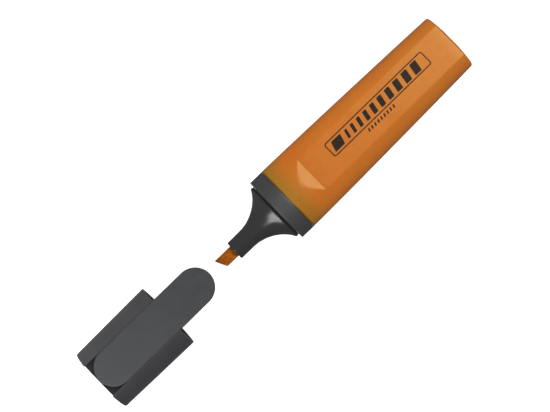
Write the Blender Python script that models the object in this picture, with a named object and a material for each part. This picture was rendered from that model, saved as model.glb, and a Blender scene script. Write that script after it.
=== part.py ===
"""A flat, capped, chisel-tip highlighter, lying on its back with its cap pulled off in line with the nib.

Frame: X runs along the pen from the cap (-X) to the closed end of the barrel (+X), Y runs across it, and the
label face looks up (+Z). The origin is on the table, under the middle of the whole layout.

The pen is a flat oval: two parallel flats joined by elliptical sides. Every shell is skinned over rings of
that oval, and the round inner pieces over rings of circles with the same number of points.
"""

import math

import bmesh
import bpy

MM = 0.001
FIT = 0.3 * MM  # free gap between neighbouring pieces

# Lengths along the pen
CAP_LENGTH = 33.55 * MM
CAP_TRAVEL_GAP = 53.4 * MM  # from the cap's mouth to the collar
COLLAR_LENGTH = 5.7 * MM
BARREL_LENGTH = 81.1 * MM
SPOUT_REACH = 20.6 * MM  # from the collar's front face to the end of the spout
NIB_REACH_LONG = 7.9 * MM  # how far the nib's two corners stand out of the spout
NIB_REACH_SHORT = 5.7 * MM
CLIP_REACH = 21.3 * MM  # of the clip past the cap's mouth

# Cross-section of the pen
FRONT_WIDTH = 26.8 * MM
REAR_WIDTH = 23.2 * MM
TAPER_POWER = 1.3  # above 1, the barrel's sides bow out between its ends
CAP_MOUTH_WIDTH = 26.45 * MM
CAP_END_WIDTH = 25.4 * MM
FLAT_WIDTH = 14.3 * MM  # of the flats on the front and the back
FLAT_TAPER = 0.4  # how much narrower half a flat gets for each step inwards
FLAT_HEIGHT = 6.45 * MM  # of the flats above and below the pen's axis
REAR_TOP_HEIGHT = 6.2 * MM  # of the label face above the axis, at the closed end
AXIS_Z = FLAT_HEIGHT  # the back lies on the table

# Barrel
BARREL_WALL = 1.4 * MM
BARREL_FLOOR = 1.6 * MM
SCOOP_START = 6.7 * MM  # the ramp down to the label face, from the collar's rear edge
SCOOP_END = 11.9 * MM
SCOOP_LEAD = 0.45  # the ramp's slope where it starts, as a share of its mean slope
REAR_FILLET = 0.9 * MM
REAR_BULGE = 0.75 * MM  # of the slight dome that closes the rear end
RIB_START = 9.5 * MM  # the crush ribs that hold the ink store, from the collar's rear edge
RIB_LEAD = 1.5 * MM

# Collar and nozzle
SKIRT_LENGTH = 6.4 * MM
SKIRT_WALL = 0.85 * MM
EDGE = 0.2 * MM  # small rounded edges
FLANGE_WIDTH = 23.5 * MM
FLANGE_HEIGHT = 10.0 * MM
FLANGE_THICKNESS = 0.7 * MM
GROOVE_LENGTH = 0.7 * MM
GROOVE_DEPTH = 0.4 * MM
SPOUT_TIP_RADIUS = 3.75 * MM
SPOUT_ROOT_RADIUS = 3.8 * MM
SPOUT_LENGTH = 6.2 * MM
FLARE_LIFT = 0.18  # share of the flare's growth that comes late, as it turns up to the flange
FLARE_LIFT_POWER = 8
NIB_BORE_RADIUS = 2.95 * MM

# Nib
NIB_WIDTH = 4.5 * MM
NIB_THICKNESS = 2.8 * MM
NIB_EDGE = 0.35 * MM
NIB_STEM = 6.5 * MM  # of the nib's tail inside the ink store

# Ink store
STORE_WIDTH = 19.2 * MM
STORE_HEIGHT = 7.4 * MM
STORE_CLEARANCE = 1.5 * MM  # left free at the barrel's closed end
FILM = 0.25 * MM
BREATHER_RADIUS = 0.75 * MM
BREATHER_BORE = 0.42 * MM
SOCKET_DEPTH = 7.0 * MM

# Cap
CAP_WALL = 1.25 * MM
CAP_FLOOR = 1.4 * MM
CAP_BULGE = 0.5 * MM  # of the closed end, from its edges to the flat in its middle
CAP_END_FLAT = 0.4  # the flat's size, as a share of the dome's outline
DOME_INSET = 0.3 * MM  # from the rounded edge of the closed end to the dome
RAIL_HEIGHT = 9.1 * MM  # of the two rails beside the clip, above the axis
CHANNEL_WIDTH = 14.7 * MM  # between the rails
LINER_RADIUS = 4.8 * MM
LINER_WALL = 0.75 * MM
LINER_OVERLAP = 4.8 * MM  # how far the liner reaches over the spout when the cap is on
SEAT_DEPTH = 2.0 * MM

# Clip
CLIP_WIDTH = 14.1 * MM
CLIP_THICKNESS = 1.45 * MM
CLIP_SETBACK = 1.05 * MM  # of the clip's root from the cap's closed end
CLIP_FOOT_INSET = 0.8 * MM
CLIP_FOOT_EXTRA = 1.0 * MM  # how much longer than wide the foot is

# Fineness of the rings
FLAT_STEPS = 12
SIDE_STEPS = 14
SCOOP_STEPS = 12
BARREL_STEPS = 8
FILLET_STEPS = 6
FLARE_STEPS = 16
DOME_STEPS = 4
PILL_STEPS = 22
STADIUM_STEPS = 16
GROOVE_STEPS = 12
TUBE_POINTS = 20

# Stations along X
TOTAL_LENGTH = CAP_LENGTH + CAP_TRAVEL_GAP + COLLAR_LENGTH + BARREL_LENGTH
CAP_END_X = -TOTAL_LENGTH / 2
CAP_MOUTH_X = CAP_END_X + CAP_LENGTH
COLLAR_X = CAP_MOUTH_X + CAP_TRAVEL_GAP
BARREL_X = COLLAR_X + COLLAR_LENGTH
REAR_X = BARREL_X + BARREL_LENGTH
SPOUT_X = COLLAR_X - SPOUT_REACH
STORE_X = BARREL_X + 2 * FIT
STORE_END_X = REAR_X - BARREL_FLOOR - STORE_CLEARANCE
CROWN = FLAT_HEIGHT / math.sqrt(1 - (FLAT_WIDTH / FRONT_WIDTH) ** 2)  # of the full oval, above the axis

# name: (colour, roughness)
MATERIALS = {
    "orange_plastic": ((0.64, 0.22, 0.035), 0.3),
    "grey_plastic": ((0.062, 0.062, 0.066), 0.45),
    "dark_plastic": ((0.04, 0.04, 0.042), 0.42),
    "orange_felt": ((0.4, 0.1, 0.008), 0.9),
    "inked_fibre": ((0.72, 0.2, 0.02), 0.95),
    "clear_film": ((0.75, 0.72, 0.66), 0.2),
    "white_plastic": ((0.75, 0.75, 0.73), 0.5),
}


def clear_scene():
    for thing in list(bpy.data.objects):
        bpy.data.objects.remove(thing)


def make_material(name):
    colour, roughness = MATERIALS[name]
    material = bpy.data.materials.new(name)
    material.use_nodes = True
    shader = material.node_tree.nodes["Principled BSDF"]
    shader.inputs["Base Color"].default_value = (*colour, 1)
    shader.inputs["Roughness"].default_value = roughness
    shader.inputs["Metallic"].default_value = 0
    return material


def add_object(name, bm, material, origin):
    """Turns a bmesh made in world coordinates into an object whose origin is at the given point."""
    bmesh.ops.recalc_face_normals(bm, faces=bm.faces)
    bmesh.ops.translate(bm, verts=bm.verts, vec=[-c for c in origin])
    mesh = bpy.data.meshes.new(name)
    bm.to_mesh(mesh)
    bm.free()
    mesh.shade_smooth()
    mesh.set_sharp_from_angle(angle=math.radians(30))
    mesh.materials.append(make_material(material))
    thing = bpy.data.objects.new(name, mesh)
    thing.location = origin
    bpy.context.scene.collection.objects.link(thing)
    return thing


def loft(name, rings, material, origin, looped=False):
    """Skins one solid over rings with equal numbers of points. Looped joins the last ring to the first, as a
    tube wall does. Otherwise the first and the last ring are filled."""
    bm = bmesh.new()
    rows = [[bm.verts.new(point) for point in ring] for ring in rings]
    pairs = list(zip(rows, rows[1:]))
    if looped:
        pairs.append((rows[-1], rows[0]))
    for near, far in pairs:
        for i in range(len(near)):
            j = (i + 1) % len(near)
            bm.faces.new((near[i], near[j], far[j], far[i]))
    if not looped:
        bm.faces.new(rows[0])
        bm.faces.new(rows[-1])
    return add_object(name, bm, material, origin)


def across(x, outline):
    """The ring that an outline of (y, z) points about the axis makes at the station x."""
    return [(x, y, AXIS_Z + z) for y, z in outline]


def oval(half_width, top, bottom, half_flat, cut=None):
    """Outline of the flat oval, about the axis. The full ellipse is cut off at the height `cut` on its label
    side, at `top` when no cut is given, and at the depth `bottom` on its back."""
    cut = top if cut is None else cut
    squeeze = math.sqrt(1 - (half_flat / half_width) ** 2)
    corner = math.asin(half_flat / half_width)
    points = []
    for i in range(FLAT_STEPS + 1):
        y = half_flat * (2 * i / FLAT_STEPS - 1)
        full = top / squeeze * math.sqrt(1 - (y / half_width) ** 2)
        points.append((y, min(full, cut)))
    side = []
    for i in range(1, SIDE_STEPS):
        angle = corner + (math.pi - 2 * corner) * i / SIDE_STEPS
        height = top if angle < math.pi / 2 else bottom
        side.append((half_width * math.sin(angle), height / squeeze * math.cos(angle)))
    points += side
    points += [(half_flat * (1 - 2 * i / FLAT_STEPS), -bottom) for i in range(FLAT_STEPS + 1)]
    points += [(-y, z) for y, z in reversed(side)]
    return points


def ellipse(half_width, half_height):
    """Outline of an ellipse with as many points as an oval, in the same order."""
    angles = []
    for quarter in range(4):
        steps = FLAT_STEPS if quarter % 2 == 0 else SIDE_STEPS
        last = steps + 1 if quarter % 2 == 0 else steps
        first = 0 if quarter % 2 == 0 else 1
        angles += [math.pi / 2 * (quarter - 0.5 + i / steps) for i in range(first, last)]
    return [(half_width * math.sin(a), half_height * math.cos(a)) for a in angles]


def circle(radius):
    return ellipse(radius, radius)


def mix(outline_a, outline_b, share):
    return [
        (ya + (yb - ya) * share, za + (zb - za) * share)
        for (ya, za), (yb, zb) in zip(outline_a, outline_b)
    ]


def barrel_share(x):
    return max(0.0, (x - BARREL_X) / BARREL_LENGTH)


def label_height(x):
    """Height of the label face above the axis, which falls a little towards the closed end."""
    return FLAT_HEIGHT + (REAR_TOP_HEIGHT - FLAT_HEIGHT) * barrel_share(x)


def pen_oval(x, inset=0.0, cut=None):
    """The barrel's outline at the station x, drawn in by `inset` all round."""
    width = FRONT_WIDTH + (REAR_WIDTH - FRONT_WIDTH) * barrel_share(x) ** TAPER_POWER
    half_flat = FLAT_WIDTH / 2 - FLAT_TAPER * inset
    return oval(width / 2 - inset, label_height(x) - inset, FLAT_HEIGHT - inset, half_flat, cut)


def scoop_cut(x):
    """Height of the ramp that leads from the full oval down to the label face."""
    share = (x - BARREL_X - SCOOP_START) / (SCOOP_END - SCOOP_START)
    share = min(max(share, 0.0), 1.0)
    drop = SCOOP_LEAD * share + (1 - SCOOP_LEAD) * share * share
    return CROWN + (label_height(x) - CROWN) * drop


def with_ribs(outline, tip_width, tip_height):
    """Pulls the middle point of each of the four walls in to where the crush ribs touch the ink store."""
    points = list(outline)
    top = FLAT_STEPS // 2
    right = FLAT_STEPS + SIDE_STEPS // 2
    bottom = FLAT_STEPS + SIDE_STEPS + FLAT_STEPS // 2
    left = 2 * FLAT_STEPS + SIDE_STEPS + SIDE_STEPS // 2
    points[top] = (0, tip_height / 2)
    points[right] = (tip_width / 2, 0)
    points[bottom] = (0, -tip_height / 2)
    points[left] = (-tip_width / 2, 0)
    return points


def make_barrel():
    rib_width = STORE_WIDTH + 2 * FIT
    rib_height = STORE_HEIGHT + 2 * FIT
    floor_x = REAR_X - BARREL_FLOOR
    rib_x = BARREL_X + RIB_START
    edge = EDGE / 2
    rings = []
    for x in (floor_x, rib_x + RIB_LEAD):
        rings.append(across(x, with_ribs(pen_oval(x, BARREL_WALL), rib_width, rib_height)))
    rings += [across(x, pen_oval(x, BARREL_WALL)) for x in (rib_x, BARREL_X)]
    rings.append(across(BARREL_X, pen_oval(BARREL_X, edge, CROWN - edge)))
    rings.append(across(BARREL_X + edge, pen_oval(BARREL_X, 0, CROWN)))
    for i in range(SCOOP_STEPS + 1):
        x = BARREL_X + SCOOP_START + (SCOOP_END - SCOOP_START) * i / SCOOP_STEPS
        rings.append(across(x, pen_oval(x, 0, scoop_cut(x))))
    fillet_x = REAR_X - REAR_BULGE - REAR_FILLET
    label_x = BARREL_X + SCOOP_END
    for i in range(1, BARREL_STEPS):
        x = label_x + (fillet_x - label_x) * i / BARREL_STEPS
        rings.append(across(x, pen_oval(x)))
    for i in range(FILLET_STEPS + 1):
        angle = math.pi / 2 * i / FILLET_STEPS
        inset = REAR_FILLET * (1 - math.cos(angle))
        rings.append(across(fillet_x + REAR_FILLET * math.sin(angle), pen_oval(fillet_x, inset)))
    dome = pen_oval(fillet_x, REAR_FILLET)
    for i in range(DOME_STEPS - 1, 0, -1):
        share = i / DOME_STEPS
        rings.append(across(REAR_X - REAR_BULGE * share**2, mix(circle(0), dome, share)))
    return loft("barrel", rings, "orange_plastic", (BARREL_X, 0, AXIS_Z))


def hole_oval(inset=0.0):
    """Outline of the hole through the collar, which holds the nozzle's shank and the ink store's front."""
    wall = BARREL_WALL + FIT + SKIRT_WALL
    return pen_oval(BARREL_X, wall + inset)


def make_collar():
    skirt = pen_oval(BARREL_X, BARREL_WALL + FIT)
    front = COLLAR_X
    rear = BARREL_X - FIT
    skirt_end = BARREL_X + SKIRT_LENGTH
    rings = [
        across(front, hole_oval()),
        across(front, pen_oval(BARREL_X, EDGE, CROWN - EDGE)),
        across(front + EDGE, pen_oval(BARREL_X, 0, CROWN)),
        across(rear - EDGE / 2, pen_oval(BARREL_X, 0, CROWN)),
        across(rear, pen_oval(BARREL_X, EDGE / 2, CROWN - EDGE / 2)),
        across(rear, skirt),
        across(skirt_end - EDGE, skirt),
        across(skirt_end, pen_oval(BARREL_X, BARREL_WALL + FIT + EDGE)),
        across(skirt_end, hole_oval()),
    ]
    return loft("collar", rings, "grey_plastic", (COLLAR_X, 0, AXIS_Z), looped=True)


def flare(share):
    """How much of the way from the spout to the flange the flare has opened, for a share of its length."""
    return (1 - FLARE_LIFT) * share**2 + FLARE_LIFT * share**FLARE_LIFT_POWER


def make_nozzle():
    flange = ellipse(FLANGE_WIDTH / 2, FLANGE_HEIGHT / 2)
    neck = ellipse(FLANGE_WIDTH / 2 - GROOVE_DEPTH, FLANGE_HEIGHT / 2 - GROOVE_DEPTH)
    shank = hole_oval(FIT)
    flange_back = COLLAR_X - GROOVE_LENGTH
    flange_front = flange_back - FLANGE_THICKNESS
    flare_x = SPOUT_X + SPOUT_LENGTH
    rings = [
        across(SPOUT_X, circle(NIB_BORE_RADIUS + EDGE / 2)),
        across(SPOUT_X, circle(SPOUT_TIP_RADIUS - EDGE)),
        across(SPOUT_X + EDGE, circle(SPOUT_TIP_RADIUS)),
    ]
    for i in range(FLARE_STEPS + 1):
        share = i / FLARE_STEPS
        x = flare_x + (flange_front - flare_x) * share
        rings.append(across(x, mix(circle(SPOUT_ROOT_RADIUS), flange, flare(share))))
    rings += [
        across(flange_back, flange),
        across(flange_back, neck),
        across(COLLAR_X - FIT, neck),
        across(COLLAR_X - FIT, shank),
        across(BARREL_X, shank),
        across(BARREL_X, circle(NIB_BORE_RADIUS)),
        across(SPOUT_X + EDGE, circle(NIB_BORE_RADIUS)),
    ]
    return loft("nozzle", rings, "dark_plastic", (COLLAR_X, 0, AXIS_Z), looped=True)


def make_nib():
    """A flat felt bar, cut at a slant across its tip and rounded on every edge."""
    bm = bmesh.new()
    tail_x = STORE_X + NIB_STEM
    half = NIB_WIDTH / 2
    outline = [
        (SPOUT_X - NIB_REACH_LONG, half),
        (SPOUT_X - NIB_REACH_SHORT, -half),
        (tail_x, -half),
        (tail_x, half),
    ]
    face = bm.faces.new([bm.verts.new((x, y, AXIS_Z - NIB_THICKNESS / 2)) for x, y in outline])
    raised = bmesh.ops.extrude_face_region(bm, geom=[face])["geom"]
    top = [v for v in raised if isinstance(v, bmesh.types.BMVert)]
    bmesh.ops.translate(bm, verts=top, vec=(0, 0, NIB_THICKNESS))
    bmesh.ops.bevel(bm, geom=bm.edges[:], offset=NIB_EDGE, segments=2, profile=0.5, affect="EDGES")
    return add_object("nib", bm, "orange_felt", (SPOUT_X, 0, AXIS_Z))


def stadium(width, height):
    """Outline with straight top and bottom and half-round ends, starting at the middle of the +Y end."""
    radius = height / 2
    reach = width / 2 - radius
    angles = [math.pi * i / STADIUM_STEPS for i in range(STADIUM_STEPS + 1)]
    right = [(reach + radius * math.sin(a), radius * math.cos(a)) for a in angles]
    return right + [(-y, -z) for y, z in right]


def make_reservoir_core():
    """The fibre store: a channel along its +Y edge takes the breather, and a socket the nib's tail."""
    width = STORE_WIDTH - 2 * (FILM + FIT)
    height = STORE_HEIGHT - 2 * (FILM + FIT)
    body = loft(
        "reservoir_core",
        [across(x, stadium(width, height)) for x in (STORE_X, STORE_END_X)],
        "inked_fibre",
        (STORE_X, 0, AXIS_Z),
    )
    groove_radius = BREATHER_RADIUS + FIT
    middle = breather_y()
    angles = [-math.pi * i / GROOVE_STEPS for i in range(GROOVE_STEPS + 1)]
    outline = [(middle + groove_radius * math.sin(a), groove_radius * math.cos(a)) for a in angles]
    outline += [(STORE_WIDTH / 2, -groove_radius), (STORE_WIDTH / 2, groove_radius)]
    add_cutter(body, "breather_groove", outline, STORE_X - MM, STORE_END_X + MM)
    half_width = NIB_WIDTH / 2 + FIT
    half_height = NIB_THICKNESS / 2 + FIT
    upper = [(-half_width, half_height), (half_width, half_height)]
    socket = upper + [(-y, -z) for y, z in upper]
    add_cutter(body, "nib_socket", socket, STORE_X - MM, STORE_X + SOCKET_DEPTH)
    return body


def add_cutter(body, name, outline, start_x, end_x):
    """Cuts a straight prism out of a body. The cutter itself is only a guide."""
    rings = [across(start_x, outline), across(end_x, outline)]
    cutter = loft(name, rings, "white_plastic", (start_x, 0, AXIS_Z))
    cutter.hide_render = True
    cutter.display_type = "WIRE"
    cut = body.modifiers.new(name, "BOOLEAN")
    cut.operation = "DIFFERENCE"
    cut.object = cutter


def breather_y():
    return STORE_WIDTH / 2 - FILM - 2 * FIT - BREATHER_RADIUS


def make_reservoir_film():
    outer = stadium(STORE_WIDTH, STORE_HEIGHT)
    inner = stadium(STORE_WIDTH - 2 * FILM, STORE_HEIGHT - 2 * FILM)
    rings = [
        across(STORE_X, inner),
        across(STORE_X, outer),
        across(STORE_END_X, outer),
        across(STORE_END_X, inner),
    ]
    return loft("reservoir_film", rings, "clear_film", (STORE_X, 0, AXIS_Z), looped=True)


def make_breather_tube():
    def ring(x, radius):
        angles = [2 * math.pi * i / TUBE_POINTS for i in range(TUBE_POINTS)]
        return across(x, [(breather_y() + radius * math.sin(a), radius * math.cos(a)) for a in angles])

    rings = [
        ring(STORE_X, BREATHER_BORE),
        ring(STORE_X, BREATHER_RADIUS),
        ring(STORE_END_X, BREATHER_RADIUS),
        ring(STORE_END_X, BREATHER_BORE),
    ]
    return loft("breather_tube", rings, "white_plastic", (STORE_X, breather_y(), AXIS_Z), looped=True)


def cap_half_width(x):
    share = (CAP_MOUTH_X - x) / CAP_LENGTH
    return (CAP_MOUTH_WIDTH + (CAP_END_WIDTH - CAP_MOUTH_WIDTH) * share) / 2


def cap_cavity(x, inset=0.0):
    height = FLAT_HEIGHT - inset
    return oval(cap_half_width(x) - inset, height, height, FLAT_WIDTH / 2 - FLAT_TAPER * inset)


def cap_outline(x, inset=0.0):
    """Outline of the cap's outside: a fuller oval than the pen's, with a channel for the clip on top."""
    half_width = cap_half_width(x) - inset
    channel = CHANNEL_WIDTH / 2 + inset
    floor = FLAT_HEIGHT - inset
    rail = RAIL_HEIGHT - inset
    squeeze = math.sqrt(1 - (channel / half_width) ** 2)
    corner = math.asin(channel / half_width)
    side_steps = SIDE_STEPS - 1
    side = []
    for i in range(side_steps):
        angle = corner + (math.pi - 2 * corner) * i / side_steps
        height = rail if angle < math.pi / 2 else floor
        side.append((half_width * math.sin(angle), height / squeeze * math.cos(angle)))
    top = [(channel * (2 * i / FLAT_STEPS - 1), floor) for i in range(FLAT_STEPS + 1)]
    bottom = [(-y, -z) for y, z in top]
    return top + side + bottom + [(-y, z) for y, z in reversed(side)]


def make_cap_shell():
    """The cap, with a channel for the clip outside and a round pocket for the liner in its end wall."""
    floor_x = CAP_END_X + CAP_FLOOR
    seat_x = floor_x + SEAT_DEPTH
    seat = circle(LINER_RADIUS + FIT)
    rings = [
        across(floor_x, seat),
        across(seat_x, seat),
        across(seat_x, cap_cavity(seat_x, CAP_WALL)),
        across(CAP_MOUTH_X - EDGE, cap_cavity(CAP_MOUTH_X, CAP_WALL)),
        across(CAP_MOUTH_X, cap_cavity(CAP_MOUTH_X, CAP_WALL - EDGE)),
        across(CAP_MOUTH_X, cap_outline(CAP_MOUTH_X, EDGE)),
        across(CAP_MOUTH_X - EDGE, cap_outline(CAP_MOUTH_X)),
    ]
    edge_x = CAP_END_X + CAP_BULGE
    rings.append(across(edge_x + EDGE, cap_outline(edge_x + EDGE)))
    rings.append(across(edge_x, cap_outline(edge_x, EDGE)))
    # The dome starts below the channel, on a plain oval, because an outline with a notch folds as it shrinks
    inset = EDGE + DOME_INSET
    height = FLAT_HEIGHT - inset
    dome_outline = oval(cap_half_width(edge_x) - inset, height, height, CHANNEL_WIDTH / 2 + inset)
    for i in range(DOME_STEPS, -1, -1):
        share = i / DOME_STEPS
        outline = mix(circle(0), dome_outline, CAP_END_FLAT + (1 - CAP_END_FLAT) * share)
        rings.append(across(CAP_END_X + CAP_BULGE * share**2, outline))
    return loft("cap_shell", rings, "grey_plastic", (CAP_MOUTH_X, 0, AXIS_Z))


def make_cap_liner():
    """The inner cap: a cup that closes round the spout and keeps the nib wet."""
    back_x = CAP_END_X + CAP_FLOOR + FIT
    mouth_x = CAP_MOUTH_X - SPOUT_REACH + LINER_OVERLAP
    bore = LINER_RADIUS - LINER_WALL
    rings = [
        across(back_x + LINER_WALL, circle(bore)),
        across(mouth_x - 2 * EDGE, circle(bore)),
        across(mouth_x, circle(bore + 2 * EDGE)),
        across(mouth_x, circle(LINER_RADIUS - EDGE)),
        across(mouth_x - EDGE, circle(LINER_RADIUS)),
        across(back_x, circle(LINER_RADIUS)),
    ]
    return loft("cap_liner", rings, "dark_plastic", (mouth_x, 0, AXIS_Z))


def pill(height, start_x, end_x, width):
    """A level outline at the given height, with straight sides and half-round ends."""
    radius = width / 2
    ring = []
    for middle_x, first in ((end_x - radius, -math.pi / 2), (start_x + radius, math.pi / 2)):
        for i in range(PILL_STEPS + 1):
            angle = first + math.pi * i / PILL_STEPS
            ring.append((middle_x + radius * math.cos(angle), radius * math.sin(angle), height))
    return ring


def make_clip():
    """A tongue with two half-round ends. Its foot stands in the cap's channel; the rest is free to flex."""
    foot_z = AXIS_Z + FLAT_HEIGHT + FIT
    under_z = AXIS_Z + CROWN + FIT
    top_z = under_z + CLIP_THICKNESS
    start_x = CAP_END_X + CLIP_SETBACK
    end_x = CAP_MOUTH_X + CLIP_REACH

    def level(height, inset):
        return pill(height, start_x + inset, end_x - inset, CLIP_WIDTH - 2 * inset)

    foot_start = start_x + CLIP_FOOT_INSET
    foot_width = CLIP_WIDTH - 2 * CLIP_FOOT_INSET
    foot_end = foot_start + foot_width + CLIP_FOOT_EXTRA
    rings = [
        pill(foot_z, foot_start, foot_end, foot_width),
        pill(under_z, foot_start, foot_end, foot_width),
        level(under_z, EDGE),
        level(under_z + EDGE, 0),
        level(top_z - 2 * EDGE, 0),
        level(top_z - EDGE / 2, EDGE / 2),
        level(top_z, 2 * EDGE),
    ]
    hinge = (foot_start + foot_width / 2, 0, foot_z)
    return loft("clip", rings, "grey_plastic", hinge)


def main():
    clear_scene()
    make_barrel()
    make_collar()
    make_nozzle()
    make_nib()
    make_reservoir_core()
    make_reservoir_film()
    make_breather_tube()
    make_cap_shell()
    make_cap_liner()
    make_clip()


main()
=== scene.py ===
"""The looks of a flat capped highlighter: orange barrel, dark grey nozzle, collar and cap, and a felt nib.

Every piece is a skin over rings across the pen. It is finer than the CAD solid and stands where that does.
Lengths are in metres in the CAD's frame: X along the pen, Y across it, Z up out of the label face.
"""

import math

import bpy
from mathutils import Matrix, Vector, noise


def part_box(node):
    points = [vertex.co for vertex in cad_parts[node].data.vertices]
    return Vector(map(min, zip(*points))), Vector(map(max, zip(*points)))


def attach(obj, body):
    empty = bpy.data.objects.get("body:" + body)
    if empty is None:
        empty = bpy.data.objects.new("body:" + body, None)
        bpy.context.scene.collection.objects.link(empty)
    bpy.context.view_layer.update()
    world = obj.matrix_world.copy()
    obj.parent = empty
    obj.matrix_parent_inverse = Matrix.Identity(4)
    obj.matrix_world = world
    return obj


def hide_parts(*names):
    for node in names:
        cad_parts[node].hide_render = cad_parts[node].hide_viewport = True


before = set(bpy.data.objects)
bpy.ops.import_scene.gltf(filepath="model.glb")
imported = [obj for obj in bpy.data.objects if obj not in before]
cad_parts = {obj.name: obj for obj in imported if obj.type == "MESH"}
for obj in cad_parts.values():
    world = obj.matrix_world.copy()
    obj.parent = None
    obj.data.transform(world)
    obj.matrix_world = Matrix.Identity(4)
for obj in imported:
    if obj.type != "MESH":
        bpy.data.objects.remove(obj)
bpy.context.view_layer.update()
MM = 0.001

# Places read from the CAD solids
BARREL_LOW, BARREL_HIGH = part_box("barrel")
COLLAR_LOW, COLLAR_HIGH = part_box("collar")
NOZZLE_LOW, NOZZLE_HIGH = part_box("nozzle")
NIB_LOW, NIB_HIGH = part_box("nib")
CAP_LOW, CAP_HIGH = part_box("cap_shell")
LINER_LOW, LINER_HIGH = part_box("cap_liner")
CLIP_LOW, CLIP_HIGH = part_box("clip")

# The pen's section, with heights above its axis
AXIS_Z = 6.45 * MM
FLAT_HEIGHT = 6.45 * MM
REAR_TOP_HEIGHT = 6.2 * MM
HALF_FLAT = 7.15 * MM
FRONT_HALF = BARREL_HIGH.y
REAR_HALF = 11.6 * MM
TAPER_POWER = 1.3  # over 1, so that the barrel narrows more towards its closed end
CROWN = BARREL_HIGH.z - AXIS_Z
BARREL_LENGTH = BARREL_HIGH.x - BARREL_LOW.x
BARREL_WALL = 1.4 * MM
BARREL_FLOOR = 1.6 * MM
FLAT_SHARE = 0.4  # how much of an inset the flats give up at each edge
NO_CUT = 1.0  # a cut this high leaves the oval whole

# Scoop, rear end, collar and nozzle
SCOOP_START = 6.7 * MM
SCOOP_END = 11.9 * MM
SCOOP_LEAD = 0.45  # the straight share of the ramp's drop; the rest is curved
SCOOP_RUN_UP = 0.3 * MM  # where the fine rings begin ahead of the scoop
REAR_FILLET = 0.9 * MM
REAR_BULGE = 0.75 * MM
GAP = 0.3 * MM
SEAM = 0.04 * MM  # what is left open where two pieces are pushed together
SKIRT_WALL = 0.85 * MM
FLANGE_HALF_HEIGHT = 5.0 * MM
FLANGE_THICKNESS = 0.7 * MM
GROOVE_LENGTH = 0.55 * MM
GROOVE_DEPTH = 0.5 * MM
SPOUT_TIP_RADIUS = 3.75 * MM
SPOUT_ROOT_RADIUS = 3.8 * MM
SPOUT_LENGTH = 6.2 * MM
FLARE_LIFT = 0.18  # the share of the flare that opens only near the flange
FLARE_LIFT_POWER = 8
NIB_BORE_RADIUS = 2.95 * MM

# Nib
NIB_SLANT = 2.2 * MM
NIB_SLANT_FULL = 1.0 * MM  # depth to which the rings keep the whole slant
NIB_SLANT_FADE = 8.0 * MM  # length over which it fades out behind that
NIB_CORE = 4.0 * MM  # depth of the point that the tip's fuzz spreads from

# Cap
CAP_WALL = 1.25 * MM
CAP_FLOOR = 1.4 * MM
CAP_MOUTH_HALF = CAP_HIGH.y
CAP_END_HALF = 12.7 * MM
CAP_BULGE = 0.5 * MM
CAP_END_FLAT = 0.4  # the width of the closed end's flat middle, as a share of the dome's
DOME_INSET = 0.3 * MM
DOME_LEAD = math.radians(5)  # the part of the dome's side that the points of a rail's rounding share
RAIL_HEIGHT = 9.1 * MM
RAIL_ROUND = 0.08 * MM
CHANNEL_HALF = CLIP_HIGH.y + 0.03 * MM
SEAT_DEPTH = 2.0 * MM
LINER_RADIUS = LINER_HIGH.y
LINER_WALL = 0.75 * MM
CLIP_THICKNESS = 1.45 * MM
CLIP_FOOT_INSET = 0.8 * MM

# Fineness
FLAT_POINTS = 25
CORNER_POINTS = 6
ACROSS_POINTS = FLAT_POINTS + 2 * CORNER_POINTS
SIDE_POINTS = 40
RAIL_ROUND_POINTS = 8
SOFTEN = 0.15 * MM  # how far a cut's edge is rounded off
BLEND = 0.45 * MM  # the rounding's reach to each side of the edge


# ---------------------------------------------------------------- materials


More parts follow.
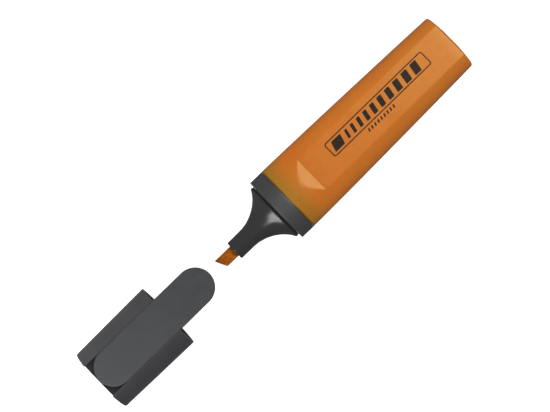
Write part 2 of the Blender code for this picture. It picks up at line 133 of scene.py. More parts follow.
class Shader:
    """A Principled material with short helpers for its node tree."""

    def __init__(self, name, roughness=0.5, **inputs):
        self.material = bpy.data.materials.new(name)
        self.material.use_nodes = True
        self.tree = self.material.node_tree
        self.surface = self.tree.nodes["Principled BSDF"]
        self.surface.inputs["Roughness"].default_value = roughness
        for key, value in inputs.items():
            self.surface.inputs[key.replace("_", " ")].default_value = value
        self.place = self.node("ShaderNodeTexCoord").outputs["Object"]

    def node(self, kind, **settings):
        node = self.tree.nodes.new(kind)
        for key, value in settings.items():
            setattr(node, key, value)
        return node

    def link(self, output, socket):
        self.tree.links.new(output, socket)

    def stretched(self, scale):
        """Object coordinates, stretched along X, Y and Z."""
        mapping = self.node("ShaderNodeMapping")
        mapping.inputs["Scale"].default_value = scale
        self.link(self.place, mapping.inputs["Vector"])
        return mapping.outputs["Vector"]

    def noise(self, scale, detail=3.0, roughness=0.55, vector=None):
        node = self.node("ShaderNodeTexNoise")
        node.inputs["Scale"].default_value = scale
        node.inputs["Detail"].default_value = detail
        node.inputs["Roughness"].default_value = roughness
        self.link(vector or self.place, node.inputs["Vector"])
        return node.outputs["Fac"]

    def axis(self, name):
        node = self.node("ShaderNodeSeparateXYZ")
        self.link(self.place, node.inputs["Vector"])
        return node.outputs[name]

    def remap(self, value, low, high, to_low=0.0, to_high=1.0, smooth=False):
        node = self.node("ShaderNodeMapRange")
        node.interpolation_type = "SMOOTHSTEP" if smooth else "LINEAR"
        self.link(value, node.inputs["Value"])
        for key, number in (("From Min", low), ("From Max", high), ("To Min", to_low), ("To Max", to_high)):
            node.inputs[key].default_value = number
        return node.outputs["Result"]

    def product(self, a, b):
        node = self.node("ShaderNodeMath", operation="MULTIPLY")
        self.link(a, node.inputs[0])
        self.link(b, node.inputs[1])
        return node.outputs["Value"]

    def colour(self, share, first, second):
        """Mixes two colours, each three numbers or an output."""
        node = self.node("ShaderNodeMix", data_type="RGBA")
        self.link(share, node.inputs["Factor"])
        # A Mix node's sockets for colours share their names with others, so they go by number
        colour_a, colour_b, colour_out = 6, 7, 2
        for number, value in ((colour_a, first), (colour_b, second)):
            if isinstance(value, tuple):
                node.inputs[number].default_value = (*value, 1)
            else:
                self.link(value, node.inputs[number])
        return node.outputs[colour_out]

    def set(self, name, output):
        self.link(output, self.surface.inputs[name])

    def source(self, name):
        """The output that feeds an input of the surface."""
        return self.surface.inputs[name].links[0].from_socket

    def bump(self, height, strength, distance):
        node = self.node("ShaderNodeBump")
        node.inputs["Strength"].default_value = strength
        node.inputs["Distance"].default_value = distance
        self.link(height, node.inputs["Height"])
        self.link(node.outputs["Normal"], self.surface.inputs["Normal"])


def orange_plastic():
    """Slightly see-through moulded plastic. The collar's dark skirt inside it tints the front end olive."""
    shader = Shader(
        "barrel_orange_plastic", IOR=1.49, Specular_Tint=(1.0, 0.92, 0.42, 1), Subsurface_Weight=0.1,
        Subsurface_Scale=0.001, Subsurface_Radius=(1.0, 0.35, 0.08),
    )
    length = shader.axis("X")
    cloud = shader.noise(70.0, detail=2.0)
    front = shader.colour(cloud, (0.51, 0.125, 0.013), (0.57, 0.16, 0.019))
    rear = shader.colour(cloud, (0.54, 0.15, 0.018), (0.60, 0.19, 0.026))
    body = shader.colour(shader.remap(length, BARREL_LOW.x, BARREL_HIGH.x), front, rear)
    skirt = shader.remap(length, BARREL_LOW.x + MM, COLLAR_HIGH.x + 3 * MM, 1.0, 0.0, smooth=True)
    patch = shader.remap(shader.noise(130.0, detail=1.0), 0.3, 0.7, 0.75, 1.0)
    tinted = shader.colour(shader.product(skirt, patch), body, (0.32, 0.15, 0.014))
    # Painted shade: a thin dark band along the barrel's front edge, where it meets the collar.
    lip = shader.remap(length, BARREL_LOW.x + 0.2 * MM, BARREL_LOW.x + 0.8 * MM, 0.85, 0.0, smooth=True)
    shader.set("Base Color", shader.colour(lip, tinted, (0.07, 0.04, 0.01)))
    shader.set("Roughness", shader.remap(shader.noise(240.0), 0.3, 0.7, 0.24, 0.33))
    shader.bump(shader.noise(420.0, detail=2.0), 0.08, 0.00008)
    return shader.material


def grey_plastic(name, dark, light, roughness, grain=5200.0, depth=0.14):
    """Dark moulded plastic with a fine spark-eroded grain and slightly rubbed edges."""
    shader = Shader(name, IOR=1.47)
    cloud = shader.remap(shader.noise(90.0, detail=3.0), 0.3, 0.7)
    body = shader.colour(cloud, dark, light)
    edge = shader.remap(shader.node("ShaderNodeNewGeometry").outputs["Pointiness"], 0.53, 0.6, 0.0, 0.25)
    rubbed = tuple(1.6 * c for c in light)
    shader.set("Base Color", shader.colour(edge, body, rubbed))
    shader.set("Roughness", shader.remap(shader.noise(600.0), 0.3, 0.7, roughness - 0.04, roughness + 0.05))
    shader.bump(shader.noise(grain, detail=1.0), depth, 0.00004)
    return shader


def nozzle_plastic():
    """The darkest and glossiest of the greys. The liner has it too."""
    return grey_plastic("nozzle_dark_plastic", (0.026, 0.026, 0.027), (0.031, 0.031, 0.032), 0.15).material


def collar_plastic():
    return grey_plastic("collar_grey_plastic", (0.04, 0.04, 0.042), (0.046, 0.046, 0.048), 0.38).material


def clip_plastic():
    """Slightly bluish, with a coarser grain than the cap's."""
    dark, light = (0.031, 0.0325, 0.036), (0.036, 0.0375, 0.041)
    return grey_plastic("clip_grey_plastic", dark, light, 0.34, grain=2300.0, depth=0.1).material


def cap_plastic():
    """The grey plastic, with painted shade down in the clip's channel near the closed end: darker there,
    and dull.
    """
    shader = grey_plastic("cap_shell_plastic", (0.046, 0.046, 0.0515), (0.054, 0.054, 0.0595), 0.33)
    body = shader.source("Base Color")
    width = shader.node("ShaderNodeMath", operation="ABSOLUTE")
    shader.link(shader.axis("Y"), width.inputs[0])
    inside = shader.remap(width.outputs["Value"], CHANNEL_HALF, CHANNEL_HALF + 0.02 * MM, 1.0, 0.0)
    above = shader.remap(shader.axis("Z"), AXIS_Z + 6 * MM, AXIS_Z + 6.2 * MM, 0.0, 1.0)
    near_end = shader.remap(shader.axis("X"), CAP_LOW.x + 7.0 * MM, CAP_LOW.x + 7.5 * MM, 1.0, 0.0)
    channel = shader.product(shader.product(inside, above), near_end)
    # Painted shade: the channel's floor and walls near the closed end are darkened, for the shade in the
    # pits beside the clip's foot.
    shader.set("Base Color", shader.colour(channel, body, (0.022, 0.022, 0.023)))
    dull = shader.node("ShaderNodeMath", operation="MAXIMUM")
    shader.link(shader.source("Roughness"), dull.inputs[0])
    shader.link(channel, dull.inputs[1])
    shader.set("Roughness", dull.outputs["Value"])
    return shader.material


def felt():
    """Pressed fibre soaked in ink: fine strands along the nib, darker where they lie deep."""
    shader = Shader(
        "nib_felt", roughness=0.9, Sheen_Weight=0.08, Sheen_Roughness=0.5, Specular_IOR_Level=0.1,
    )
    strands = shader.noise(900.0, detail=4.0, roughness=0.7, vector=shader.stretched((0.22, 1.0, 1.0)))
    clumps = shader.noise(1000.0, detail=2.0)
    body = shader.colour(shader.remap(strands, 0.3, 0.7), (0.24, 0.06, 0.002), (0.5, 0.145, 0.009))
    soaked = shader.colour(shader.remap(clumps, 0.42, 0.7, 0.0, 0.65), body, (0.12, 0.03, 0.001))
    # Painted shade: the nib is darker towards its slanted tip, and darker still where it goes into the
    # nozzle's mouth.
    tip = shader.remap(shader.axis("X"), NIB_LOW.x + 0.5 * MM, NOZZLE_LOW.x - 3 * MM, 0.5, 0.0, smooth=True)
    root = shader.remap(shader.axis("X"), NOZZLE_LOW.x - 1.6 * MM, NOZZLE_LOW.x, 0.0, 0.6, smooth=True)
    shaded_tip = shader.colour(tip, soaked, (0.13, 0.036, 0.001))
    shader.set("Base Color", shader.colour(root, shaded_tip, (0.12, 0.034, 0.001)))
    shader.bump(strands, 0.7, 0.00014)
    return shader.material


def ink_store():
    """Polyester fibre full of orange ink, in long parallel strands."""
    shader = Shader("reservoir_fibre", roughness=0.9, Sheen_Weight=0.2)
    strands = shader.noise(1500.0, detail=3.0, vector=shader.stretched((0.04, 1.0, 1.0)))
    share = shader.remap(strands, 0.3, 0.7)
    shader.set("Base Color", shader.colour(share, (0.42, 0.09, 0.006), (0.75, 0.24, 0.02)))
    shader.bump(strands, 0.6, 0.0001)
    return shader.material


def film():
    """Thin clear film, stained by the ink behind it."""
    shader = Shader("reservoir_film", roughness=0.18, Coat_Weight=0.4)
    stain = shader.remap(shader.noise(60.0), 0.3, 0.7)
    shader.set("Base Color", shader.colour(stain, (0.62, 0.3, 0.09), (0.72, 0.45, 0.2)))
    shader.bump(shader.noise(180.0, vector=shader.stretched((1.0, 0.2, 0.2))), 0.25, 0.0001)
    return shader.material


def tube_plastic():
    shader = Shader("breather_plastic", roughness=0.4)
    shader.set("Base Color", shader.colour(shader.noise(300.0), (0.66, 0.62, 0.54), (0.76, 0.73, 0.66)))
    shader.bump(shader.noise(2500.0), 0.1, 0.00005)
    return shader.material


def print_ink():
    """Screen-printed dark ink, thin enough for the orange to warm it."""
    shader = Shader("label_ink", Specular_IOR_Level=0.15)
    cover = shader.remap(shader.noise(1400.0, detail=3.0), 0.35, 0.7)
    shader.set("Base Color", shader.colour(cover, (0.012, 0.008, 0.004), (0.03, 0.018, 0.007)))
    shader.set("Roughness", shader.remap(shader.noise(2400.0), 0.3, 0.7, 0.32, 0.5))
    shader.bump(shader.noise(3000.0), 0.15, 0.00003)
    return shader.material


def cove_paint():
    """Pale matt paint with a glow of its own, so that shadows on it stay faint."""
    shader = Shader("cove_paint", roughness=0.9, Specular_IOR_Level=0.1, Emission_Strength=0.8)
    shader.surface.inputs["Emission Color"].default_value = (1, 1, 1, 1)
    shader.set("Base Color", shader.colour(shader.noise(3.0), (0.84, 0.84, 0.84), (0.86, 0.86, 0.86)))
    return shader.material


# ---------------------------------------------------------------- outlines


def soft_min(a, b, reach):
    """The lower of two heights, with the corner between them rounded off."""
    overlap = max(reach - abs(a - b), 0.0) / reach
    return min(a, b) - overlap * overlap * reach / 4


def across_points(half_flat):
    """Places across a flat from one rounded edge to the other, close together where it bends."""
    inner = half_flat - BLEND
    flat = [inner * (2 * i / (FLAT_POINTS - 1) - 1) for i in range(FLAT_POINTS)]
    edge = [inner + 2 * BLEND * (i + 1) / CORNER_POINTS for i in range(CORNER_POINTS)]
    return [-y for y in reversed(edge)] + flat + edge


def oval(half_width, top, back, half_flat, cut=None):
    """The flat oval about the pen's axis: an ellipse cut off at the height `cut` on the label side (`top`
    when none is given) and at the depth `back` on the other side, with rounded edges."""
    cut = top if cut is None else cut
    squeeze = math.sqrt(1 - (half_flat / half_width) ** 2)
    ys = across_points(half_flat)
    bulge = [math.sqrt(1 - (y / half_width) ** 2) / squeeze for y in ys]
    upper = [(y, soft_min(top * b, cut, SOFTEN)) for y, b in zip(ys, bulge)]
    lower = [(-y, -soft_min(back * b, back, SOFTEN)) for y, b in zip(ys, bulge)]
    start = math.asin(ys[-1] / half_width)
    side = []
    for i in range(1, SIDE_POINTS + 1):
        angle = start + (math.pi - 2 * start) * i / (SIDE_POINTS + 1)
        height = top if angle < math.pi / 2 else back
        side.append((half_width * math.sin(angle), height / squeeze * math.cos(angle)))
    return upper + side + lower + [(-y, z) for y, z in reversed(side)]


def ellipse(half_width, half_height):
    """An ellipse with as many points as the oval, in the same order."""
    points = []
    for quarter in range(4):
        level = quarter % 2 == 0  # the label side or the back
        steps = ACROSS_POINTS - 1 if level else SIDE_POINTS + 1
        for i in range(ACROSS_POINTS) if level else range(1, SIDE_POINTS + 1):
            angle = math.pi / 2 * (quarter - 0.5 + i / steps)
            points.append((half_width * math.sin(angle), half_height * math.cos(angle)))
    return points


def circle(radius):
    return ellipse(radius, radius)


def mix(first, second, share):
    """The outline that lies between two others with as many points."""
    return [(ya + (yb - ya) * share, za + (zb - za) * share) for (ya, za), (yb, zb) in zip(first, second)]


def pen_oval(x, inset=0.0, cut=None):
    """The barrel's outline at the station x, drawn in by `inset` all round."""
    share = max(0.0, (x - BARREL_LOW.x) / BARREL_LENGTH)
    half_width = FRONT_HALF + (REAR_HALF - FRONT_HALF) * share**TAPER_POWER
    top = FLAT_HEIGHT + (REAR_TOP_HEIGHT - FLAT_HEIGHT) * share
    return oval(half_width - inset, top - inset, FLAT_HEIGHT - inset, HALF_FLAT - FLAT_SHARE * inset, cut)


def label_height(x):
    """Height of the label face above the axis."""
    return FLAT_HEIGHT + (REAR_TOP_HEIGHT - FLAT_HEIGHT) * (x - BARREL_LOW.x) / BARREL_LENGTH


def scoop_cut(x):
    """Height of the ramp from the full oval down to the label face."""
    share = min(max((x - BARREL_LOW.x - SCOOP_START) / (SCOOP_END - SCOOP_START), 0.0), 1.0)
    drop = SCOOP_LEAD * share + (1 - SCOOP_LEAD) * share * share
    return CROWN + (label_height(x) - CROWN) * drop


def cap_half_width(x):
    share = (CAP_HIGH.x - x) / (CAP_HIGH.x - CAP_LOW.x)
    return CAP_MOUTH_HALF + (CAP_END_HALF - CAP_MOUTH_HALF) * share


def cap_cavity(x, inset):
    height = FLAT_HEIGHT - inset
    return oval(cap_half_width(x) - inset, height, height, HALF_FLAT - FLAT_SHARE * inset)


def flat_points(half_flat, height):
    """A level row of evenly spaced points."""
    last = ACROSS_POINTS - 1
    return [(half_flat * (2 * i / last - 1), height) for i in range(ACROSS_POINTS)]


def cap_outline(x, inset=0.0):
    """The outside of the cap: a fuller oval than the pen's, with two rounded rails beside the channel for
    the clip. Each of its sides starts with the rounding of a rail."""
    half_width = cap_half_width(x) - inset
    channel = CHANNEL_HALF + inset
    half_flat = channel + RAIL_ROUND
    floor = FLAT_HEIGHT - inset
    rail = RAIL_HEIGHT - inset
    squeeze = math.sqrt(1 - (half_flat / half_width) ** 2)
    start = math.asin(half_flat / half_width)
    side = [(channel, rail - RAIL_ROUND)]
    for i in range(1, RAIL_ROUND_POINTS):
        angle = math.pi / 2 * i / RAIL_ROUND_POINTS
        y = channel + RAIL_ROUND * (1 - math.cos(angle))
        side.append((y, rail - RAIL_ROUND * (1 - math.sin(angle))))
    steps = SIDE_POINTS - RAIL_ROUND_POINTS
    for i in range(steps):
        angle = start + (math.pi - 2 * start) * i / steps
        height = rail if angle < math.pi / 2 else floor
        side.append((half_width * math.sin(angle), height / squeeze * math.cos(angle)))
    bottom = [(-y, -z) for y, z in flat_points(half_flat, floor)]
    return flat_points(channel, floor) + side + bottom + [(-y, z) for y, z in reversed(side)]


def cap_dome_outline(x, inset):
    """The plain oval that the closed end's dome starts on, drawn in by `inset` from the cap's outline."""
    half_width = cap_half_width(x) - inset
    height = FLAT_HEIGHT - inset
    half_flat = CHANNEL_HALF + inset
    squeeze = math.sqrt(1 - (half_flat / half_width) ** 2)
    start = math.asin(half_flat / half_width)
    top = flat_points(half_flat, height)
    side = []
    for i in range(SIDE_POINTS):
        if i < RAIL_ROUND_POINTS:
            angle = start + DOME_LEAD * (i + 1) / (RAIL_ROUND_POINTS + 1)
        else:
            share = (i - RAIL_ROUND_POINTS) / (SIDE_POINTS - RAIL_ROUND_POINTS)
            angle = start + DOME_LEAD + (math.pi - 2 * start - DOME_LEAD) * share
        side.append((half_width * math.sin(angle), height / squeeze * math.cos(angle)))
    return top + side + [(-y, -z) for y, z in top] + [(-y, z) for y, z in reversed(side)]


def across(x, outline):
    """The ring that an outline makes at the station x."""
    return [(x, y, AXIS_Z + z) for y, z in outline]


def rounding(inset, steps=5):
    """How far along and how far inwards the points of a quarter-round edge lie, from the outside in."""
    angles = [math.pi / 2 * i / steps for i in range(steps + 1)]
    return [(inset * math.sin(angle), inset * (1 - math.cos(angle))) for angle in angles]


# ---------------------------------------------------------------- meshes


def add_piece(name, points, faces, material, body, nodes=(), sharp=35.0):
    mesh = bpy.data.meshes.new(name)
    mesh.from_pydata([tuple(p) for p in points], [], faces)
    mesh.validate()
    mesh.shade_smooth()
    mesh.set_sharp_from_angle(angle=math.radians(sharp))
    mesh.materials.append(material)
    piece = bpy.data.objects.new(name, mesh)
    bpy.context.scene.collection.objects.link(piece)
    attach(piece, body)
    if nodes:
        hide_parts(*nodes)
    return piece


def skin(rings, looped=False):
    """Points and faces of one solid over rings with equal numbers of points. Looped joins the last ring to
    the first, and otherwise both ends are closed."""
    count = len(rings[0])
    points = [p for ring in rings for p in ring]
    faces = []
    last = len(rings) if looped else len(rings) - 1
    for r in range(last):
        near, far = r * count, (r + 1) % len(rings) * count
        for i in range(count):
            j = (i + 1) % count
            faces.append((near + i, near + j, far + j, far + i))
    if not looped:
        end = len(rings) * count
        faces += [tuple(reversed(range(count))), tuple(range(end - count, end))]
    return points, faces


def turned_outward(points, faces):
    """The same faces, all flipped if the solid they close has a negative volume."""
    volume = 0.0
    for face in faces:
        a = Vector(points[face[0]])
        for i in range(1, len(face) - 1):
            volume += a.dot(Vector(points[face[i]]).cross(Vector(points[face[i + 1]])))
    if volume < 0:
        return [tuple(reversed(face)) for face in faces]
    return faces


def add_loft(name, rings, material, body, nodes, looped=False, sharp=35.0):
    points, faces = skin(rings, looped)
    return add_piece(name, points, turned_outward(points, faces), material, body, nodes, sharp)


def front_edge(x, base, edge, steps):
    """Rings of the barrel's whole oval at `base` with a rounded front edge that starts at x."""
    return [across(x + edge - a, pen_oval(base, i, CROWN - i)) for a, i in reversed(rounding(edge, steps))]


def make_barrel(material):
    """A cup. Its rings run from the floor of the hollow to the mouth and back along the outside."""
    front = BARREL_LOW.x
    floor_x = BARREL_HIGH.x - BARREL_FLOOR
    middle_x = front + 40 * MM
    bevel, bevel_rise = 0.3 * MM, 0.2 * MM
    rings = [across(x, pen_oval(x, BARREL_WALL)) for x in (floor_x, middle_x, front + bevel)]
    rings.append(across(front, pen_oval(front, BARREL_WALL - bevel_rise)))
    edge = 0.12 * MM
    rings += front_edge(front, front, edge, 3)
    full_steps = 5
    for i in range(1, full_steps):
        x = front + edge + (SCOOP_START - edge - SCOOP_RUN_UP) * i / full_steps
        rings.append(across(x, pen_oval(x, 0, NO_CUT)))
    scoop_steps = 56
    for i in range(scoop_steps + 1):
        x = front + SCOOP_START - SCOOP_RUN_UP + (SCOOP_END - SCOOP_START + SCOOP_RUN_UP) * i / scoop_steps
        rings.append(across(x, pen_oval(x, 0, scoop_cut(x) + scoop_fade(x))))
    fillet_x = BARREL_HIGH.x - REAR_BULGE - REAR_FILLET
    label_x = front + SCOOP_END
    body_steps = 24
    behind = [label_x + step * MM for step in (0.08, 0.25, 0.8)]
    behind += [label_x + (fillet_x - label_x) * i / body_steps for i in range(1, body_steps)]
    rings += [across(x, pen_oval(x)) for x in behind]
    rings += [across(fillet_x + a, pen_oval(fillet_x, i)) for a, i in rounding(REAR_FILLET, 12)]
    dome = pen_oval(fillet_x, REAR_FILLET)
    dome_steps, smallest = 10, 0.01
    for i in range(dome_steps - 1, -1, -1):
        share = max(i / dome_steps, smallest)
        rings.append(across(BARREL_HIGH.x - REAR_BULGE * share * share, mix(circle(0), dome, share)))
    return add_loft("barrel_shell", rings, material, "pen", ["barrel"], sharp=50)


def scoop_fade(x):
    """Lifts the cut out of the rounding's reach just ahead of the scoop, where the oval stays whole."""
    fade_end = BARREL_LOW.x + SCOOP_START + SCOOP_RUN_UP
    return SOFTEN * min(max((fade_end - x) / (2 * SCOOP_RUN_UP), 0.0), 1.0)


def hole_oval(inset=0.0):
    """The hole through the collar's skirt."""
    return pen_oval(BARREL_LOW.x, BARREL_WALL + GAP + SKIRT_WALL + inset)


def make_collar(material):
    """A band as wide as the barrel, with a skirt that reaches into it."""
    front, rear, end = COLLAR_LOW.x, BARREL_LOW.x - SEAM, COLLAR_HIGH.x
    edge, rear_edge = 0.25 * MM, 0.12 * MM
    base = BARREL_LOW.x
    rings = [across(front, hole_oval())]
    rings += front_edge(front, base, edge, 4)
    middle_steps = 6
    length = rear - rear_edge - front - edge
    middle = [front + edge + length * i / middle_steps for i in range(1, middle_steps)]
    rings += [across(x, pen_oval(base, 0, NO_CUT)) for x in middle]
    rings += [across(rear - rear_edge + a, pen_oval(base, i, CROWN - i)) for a, i in rounding(rear_edge, 3)]
    skirt = BARREL_WALL + GAP
    rings += [across(rear, pen_oval(base, skirt)), across(end - edge, pen_oval(base, skirt))]
    rings += [across(end, pen_oval(base, skirt + edge)), across(end, hole_oval())]
    return add_loft("collar_ring", rings, material, "pen", ["collar"], looped=True)


def flare(share):
    """How far the nozzle has opened from its spout to its flange, for a share of the flare's length."""
    return (1 - FLARE_LIFT) * share**2 + FLARE_LIFT * share**FLARE_LIFT_POWER


def make_nozzle(material):
    """A spout that flares into a thin flange, with a groove behind that and a tail in the collar's hole."""
    edge = 0.15 * MM
    flange = ellipse(NOZZLE_HIGH.y, FLANGE_HALF_HEIGHT)
    rim = ellipse(NOZZLE_HIGH.y - edge, FLANGE_HALF_HEIGHT - edge)
    neck = ellipse(NOZZLE_HIGH.y - edge, FLANGE_HALF_HEIGHT - GROOVE_DEPTH)
    back = COLLAR_LOW.x - GROOVE_LENGTH
    front = back - FLANGE_THICKNESS
    tip = NOZZLE_LOW.x
    flare_x = tip + SPOUT_LENGTH
    lip = 0.3 * MM
    rings = [across(tip + edge, circle(NIB_BORE_RADIUS)), across(tip, circle(NIB_BORE_RADIUS + edge))]
    rings += [across(tip + lip - a, circle(SPOUT_TIP_RADIUS - i)) for a, i in reversed(rounding(lip, 5))]
    spout_steps = 6
    for i in range(1, spout_steps):
        share = i / spout_steps
        radius = SPOUT_TIP_RADIUS + (SPOUT_ROOT_RADIUS - SPOUT_TIP_RADIUS) * share
        rings.append(across(tip + lip + (SPOUT_LENGTH - lip) * share, circle(radius)))
    flare_steps = 40
    for i in range(flare_steps + 1):
        share = i / flare_steps
        x = flare_x + (front - flare_x) * share
        rings.append(across(x, mix(circle(SPOUT_ROOT_RADIUS), flange, flare(share))))
    rings += [across(back - edge, flange), across(back, rim), across(back, neck)]
    rings += [across(COLLAR_LOW.x - SEAM, neck), across(COLLAR_LOW.x - SEAM, hole_oval(GAP))]
    rings += [across(NOZZLE_HIGH.x, hole_oval(GAP)), across(NOZZLE_HIGH.x, circle(NIB_BORE_RADIUS))]
    nodes, slot = ["nozzle"], "dark_plastic"
    return add_loft("nozzle_cone", rings, material, "pen", nodes, looped=True, sharp=40)


def make_nib(material):
    """A flat felt bar with a slanted, slightly fuzzy tip."""
    half_width, half_thickness = NIB_HIGH.y, (NIB_HIGH.z - NIB_LOW.z) / 2
    edge, corner_steps = 0.35 * MM, 6
    outline = []
    for corner_y, corner_z, turn in ((1, 1, 0.0), (1, -1, 0.25), (-1, -1, 0.5), (-1, 1, 0.75)):
        for i in range(corner_steps + 1):
            angle = 2 * math.pi * (turn + i / (4 * corner_steps))
            y = corner_y * (half_width - edge) + edge * math.sin(angle)
            z = corner_z * (half_thickness - edge) + edge * math.cos(angle)
            outline.append((y, z))
    outline = evenly(outline, 96)
    half_size = (half_width, half_thickness)
    rings = [nib_ring(outline, edge - a, i, half_size) for a, i in reversed(rounding(edge))]
    fine_length, steps = 12 * MM, 120
    for k in range(1, steps):
        rings.append(nib_ring(outline, edge + fine_length * k / steps, 0.0, half_size))
    rings.append(across(NIB_HIGH.x, outline))
    points, faces = skin(rings)
    points = [fuzz(p) for p in points]
    faces = turned_outward(points, faces)
    return add_piece("nib_tip", points, faces, material, "pen", ["nib"])


def evenly(outline, count):
    """The closed outline again with equally spaced points."""
    closed = outline + outline[:1]
    lengths = [math.dist(a, b) for a, b in zip(closed, closed[1:])]
    total = sum(lengths)
    result, run, k = [], 0.0, 0
    for i in range(count):
        goal = total * i / count
        while run + lengths[k] < goal:
            run += lengths[k]
            k += 1
        share = (goal - run) / lengths[k]
        a, b = closed[k], closed[k + 1]
        result.append((a[0] + (b[0] - a[0]) * share, a[1] + (b[1] - a[1]) * share))
    return result


def nib_ring(outline, depth, inset, half_size):
    """A ring of the nib at a depth behind its slanted end; the slant fades out further back."""
    half_width, half_thickness = half_size
    fade = max(0.0, 1 - max(depth - NIB_SLANT_FULL, 0.0) / NIB_SLANT_FADE)
    ring = []
    for y, z in outline:
        y *= 1 - inset / half_width
        z *= 1 - inset / half_thickness
        lean = NIB_SLANT * (half_width - y) / (2 * half_width)
        ring.append((NIB_LOW.x + depth + lean * fade, y, AXIS_Z + z))
    return ring


def fuzz(point):
    """Moves a point of the felt by a few hundredths of a millimetre, mostly inwards."""
    p = Vector(point)
    fine = 0.035 * MM * (noise.noise(p * 2600) - 0.6)
    coarse = 0.03 * MM * (noise.noise(p * 900) - 0.5)
    away = p - Vector((max(p.x, NIB_LOW.x + NIB_CORE), 0, AXIS_Z))
    return p + away.normalized() * (fine + coarse)


def make_cap(material):
    """A cup with a round pocket for the liner in its floor and a low dome on its closed end."""
    mouth, dome_x = CAP_HIGH.x, CAP_LOW.x + CAP_BULGE
    floor_x = CAP_LOW.x + CAP_FLOOR
    seat = circle(LINER_RADIUS + GAP)
    seat_x = floor_x + SEAT_DEPTH
    bevel, bevel_rise = 0.3 * MM, 0.25 * MM
    rings = [
        across(floor_x, seat),
        across(seat_x, seat),
        across(seat_x, cap_cavity(seat_x, CAP_WALL)),
        across(mouth - bevel, cap_cavity(mouth, CAP_WALL)),
        across(mouth, cap_cavity(mouth, CAP_WALL - bevel_rise)),
    ]
    edge, end_edge = 0.22 * MM, 0.3 * MM
    rings += [across(mouth - edge + a, cap_outline(mouth, i)) for a, i in reversed(rounding(edge, 4))]
    body_steps = 14
    for i in range(1, body_steps):
        x = mouth - edge + (dome_x + end_edge - mouth + edge) * i / body_steps
        rings.append(across(x, cap_outline(x)))
    rings += [across(dome_x + end_edge - a, cap_outline(dome_x, i)) for a, i in rounding(end_edge)]
    # The dome starts below the channel, on a plain oval: an outline with a notch folds as it shrinks
    rim = cap_dome_outline(dome_x, end_edge + DOME_INSET)
    dome_steps = 12
    for i in range(dome_steps, -1, -1):
        share = i / dome_steps
        outline = mix(circle(0), rim, CAP_END_FLAT + (1 - CAP_END_FLAT) * share)
        rings.append(across(dome_x - CAP_BULGE * (1 - share * share), outline))
    return add_loft("cap_body", rings, material, "cap", ["cap_shell"], sharp=40)


def make_liner(material):
    back, mouth = LINER_LOW.x, LINER_HIGH.x
    bore = LINER_RADIUS - LINER_WALL
    edge = 0.35 * MM
    rings = [across(back + LINER_WALL, circle(bore)), across(mouth - edge, circle(bore))]
    rings += [across(mouth - edge + a, circle(bore + i)) for a, i in rounding(edge, 4)[1:]]
    rings += [across(mouth - edge + a, circle(LINER_RADIUS - i)) for a, i in reversed(rounding(edge, 4))]
    rings.append(across(back, circle(LINER_RADIUS)))
    return add_loft("liner_cup", rings, material, "cap", ["cap_liner"])


def pill(height, inset, start_x, end_x, half_width):
    """A level outline with straight sides and half-round ends."""
    radius = half_width - inset
    steps, straight_steps = 40, 24
    first_x, last_x = start_x + half_width, end_x - half_width
    ring = []
    for middle_x, next_x, first in ((last_x, first_x, -math.pi / 2), (first_x, last_x, math.pi / 2)):
        for i in range(steps + 1):
            angle = first + math.pi * i / steps
            ring.append((middle_x + radius * math.cos(angle), radius * math.sin(angle), height))
        side = ring[-1][1]
        for i in range(1, straight_steps):
            ring.append((middle_x + (next_x - middle_x) * i / straight_steps, side, height))
    return ring


def make_clip(material):
    """A long tongue on a foot that stands in the cap's channel."""
    start, end, half = CLIP_LOW.x, CLIP_HIGH.x, CLIP_HIGH.y
    foot_z, top = CLIP_LOW.z, CLIP_HIGH.z
    under = top - CLIP_THICKNESS
    foot_start, foot_half = start + CLIP_FOOT_INSET, half - CLIP_FOOT_INSET
    foot_end = foot_start + 2 * foot_half + 1.0 * MM  # a little longer than it is wide
    bevel = 0.1 * MM
    rings = [pill(foot_z, bevel, foot_start, foot_end, foot_half)]
    rings.append(pill(foot_z + bevel, 0, foot_start, foot_end, foot_half))
    rings.append(pill(under, 0, foot_start, foot_end, foot_half))
    lower, upper = 0.2 * MM, 0.15 * MM
    rings += [pill(under + lower - a, i, start, end, half) for a, i in reversed(rounding(lower, 3))]
    rings += [pill(top - upper + a, i, start, end, half) for a, i in rounding(upper, 6)]
    top_insets = (0.4, 1.5, 3.0, 4.5, 6.0, 6.95)
    rings += [pill(top, inset * MM, start, end, half) for inset in top_insets]
    return add_loft("clip_tongue", rings, material, "clip", ["clip"], sharp=45)


# ---------------------------------------------------------------- label print


def bar(start_x, end_x, low_y, high_y, radius, lean=0.0):
    """Outline of a round-cornered bar on the label, leaning forward across its height by `lean`."""
    steps = 8
    corners = (
        (end_x - radius, high_y - radius, 0.0),
        (start_x + radius, high_y - radius, 0.25),
        (start_x + radius, low_y + radius, 0.5),
        (end_x - radius, low_y + radius, 0.75),
    )
    outline = []
    for x, y, turn in corners:
        for i in range(steps + 1):
            angle = 2 * math.pi * (turn + 0.25 * i / steps)
            outline.append((x + radius * math.cos(angle), y + radius * math.sin(angle)))
    return [(x + lean * (y - low_y) / (high_y - low_y), y) for x, y in outline]


def on_label(outline, lift):
    return [(x, y, AXIS_Z + label_height(x) + lift) for x, y in outline]


def stamp(points, faces, outline, hole=None):
    """Adds one thin raised patch of ink, with an optional hole that has as many points."""
    sink, lift = -0.01 * MM, 0.025 * MM
    rings = [on_label(outline, sink), on_label(outline, lift)]
    if hole:
        rings += [on_label(hole, lift), on_label(hole, sink)]
    new_points, new_faces = skin(rings, looped=bool(hole))
    new_faces = turned_outward(new_points, new_faces)
    base = len(points)
    points.extend(new_points)
    faces.extend(tuple(base + v for v in face) for face in new_faces)


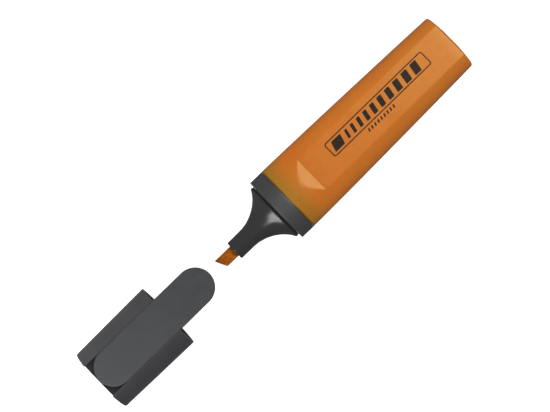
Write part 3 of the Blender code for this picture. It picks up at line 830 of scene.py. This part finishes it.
def make_print(material):
    """A plain pictogram: a frame with a chisel shape and strokes that grow from thin to thick, and a row of
    short slanted ticks beneath it."""
    start = BARREL_LOW.x + 22.2 * MM
    end = BARREL_LOW.x + 69.7 * MM
    middle, half = 1.55 * MM, 3.0 * MM
    points, faces = [], []
    line, outer_round, inner_round = 0.4 * MM, 0.9 * MM, 0.55 * MM
    frame_outline = bar(start, end, middle - half, middle + half, outer_round)
    frame_hole = bar(start + line, end - line, middle - half + line, middle + half - line, inner_round)
    stamp(points, faces, frame_outline, frame_hole)

    x = start + 1.5 * MM
    length, half_height, corner, lean = 4.4 * MM, 1.9 * MM, 0.25 * MM, 1.1 * MM
    stamp(points, faces, bar(x, x + length, middle - half_height, middle + half_height, corner, lean))

    x = start + 8.0 * MM
    strokes, space, corner, lean = 10, 1.7 * MM, 0.35 * MM, 0.7 * MM
    for i in range(strokes):
        width = (1.1 + 0.2 * i) * MM
        half_height = (1.7 + 0.05 * i) * MM
        stamp(points, faces, bar(x, x + width, middle - half_height, middle + half_height, corner, lean))
        x += width + space

    low = middle - half - 2.1 * MM
    ticks, width, height, corner, lean = 9, 0.62 * MM, 1.3 * MM, 0.18 * MM, 0.35 * MM
    for i in range(ticks):
        x = BARREL_LOW.x + (37.0 + 1.5 * i) * MM
        stamp(points, faces, bar(x, x + width, low, low + height, corner, lean))
    return add_piece("label_print", points, faces, material, "pen")


# ---------------------------------------------------------------- stage


def make_cove(material):
    """A white floor, in metres, that curves up into a wall all round. It lights nothing but itself."""
    flat, height, curve = 1.7, 1.5, 0.6
    flat_steps, curve_steps, around = 6, 12, 96
    profile = [(flat * i / flat_steps, 0.0) for i in range(1, flat_steps + 1)]
    for i in range(1, curve_steps + 1):
        angle = math.pi / 2 * i / curve_steps
        profile.append((flat + curve * math.sin(angle), curve * (1 - math.cos(angle))))
    profile.append((flat + curve, height))
    points = [(0, 0, -SEAM)]
    for radius, z in profile:
        for i in range(around):
            angle = 2 * math.pi * i / around
            points.append((radius * math.cos(angle), radius * math.sin(angle), z - SEAM))
    faces = [(0, 1 + i, 1 + (i + 1) % around) for i in range(around)]
    for r in range(len(profile) - 1):
        near, far = 1 + r * around, 1 + (r + 1) * around
        for i in range(around):
            j = (i + 1) % around
            faces.append((near + i, far + i, far + j, near + j))
    mesh = bpy.data.meshes.new("cove")
    mesh.from_pydata(points, [], faces)
    mesh.shade_smooth()
    mesh.materials.append(material)
    cove = bpy.data.objects.new("cove", mesh)
    bpy.context.scene.collection.objects.link(cove)
    cove.visible_diffuse = False
    cove.visible_glossy = False


def add_softbox(name, direction, distance, size, brightness, mirrored=True):
    """A rectangular area light that looks at the object from a direction. Glossy faces show it if it is
    `mirrored`."""
    data = bpy.data.lights.new(name, "AREA")
    data.shape = "RECTANGLE"
    data.size, data.size_y = size
    data.energy = brightness * math.pi * size[0] * size[1]
    light = bpy.data.objects.new(name, data)
    away = Vector(direction).normalized()
    light.location = away * distance
    light.rotation_euler = away.to_track_quat("Z", "Y").to_euler()
    light.visible_glossy = mirrored
    light.visible_camera = False
    bpy.context.scene.collection.objects.link(light)


def make_lights():
    """Two softboxes overhead, and a small low one for the cap's closed end and side."""
    add_softbox("rear_softbox", (0.5, 0.05, 0.86), distance=0.9, size=(0.5, 0.5), brightness=6.0)
    add_softbox("front_softbox", (-0.5, -0.11, 0.86), distance=0.9, size=(0.31, 0.44), brightness=8.0)
    low = (-0.2, 0.1, 0.03)
    add_softbox("cap_fill", low, distance=0.225, size=(0.1, 0.08), brightness=14.0, mirrored=False)


def make_world():
    world = bpy.data.worlds.new("studio")
    world.use_nodes = True
    background = world.node_tree.nodes["Background"]
    background.inputs["Color"].default_value = (1, 1, 1, 1)
    background.inputs["Strength"].default_value = 0.22
    bpy.context.scene.world = world
    bpy.context.scene.view_settings.view_transform = "Standard"


def make_camera():
    """Looks almost straight down on the label face, turned so that the pen runs up to the right."""
    target = Vector((0.855 * MM, 1.38 * MM, AXIS_Z))
    distance = 0.694
    lean = 0.05  # towards -Y
    roll = math.radians(44.18)
    back = Vector((0, -lean, math.sqrt(1 - lean * lean)))
    up = Vector((math.sin(roll), math.cos(roll), 0))
    up = (up - back * up.dot(back)).normalized()
    turn = Matrix((up.cross(back), up, back)).transposed()
    data = bpy.data.cameras.new("camera")
    data.lens = 128.06  # in millimetres
    data.clip_start = 0.01
    camera = bpy.data.objects.new("camera", data)
    camera.matrix_world = Matrix.Translation(target + back * distance) @ turn.to_4x4()
    bpy.context.scene.collection.objects.link(camera)
    bpy.context.scene.camera = camera


def refinish(node, material):
    """Gives a CAD solid that is carried over a better material."""
    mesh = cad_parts[node].data
    mesh.materials.clear()
    mesh.materials.append(material)


def main():
    dark_grey = nozzle_plastic()
    make_barrel(orange_plastic())
    make_print(print_ink())
    make_collar(collar_plastic())
    make_nozzle(dark_grey)
    make_nib(felt())
    make_cap(cap_plastic())
    make_liner(dark_grey)
    make_clip(clip_plastic())
    refinish("reservoir_core", ink_store())
    refinish("reservoir_film", film())
    refinish("breather_tube", tube_plastic())
    make_cove(cove_paint())
    make_world()
    make_lights()
    make_camera()


main()
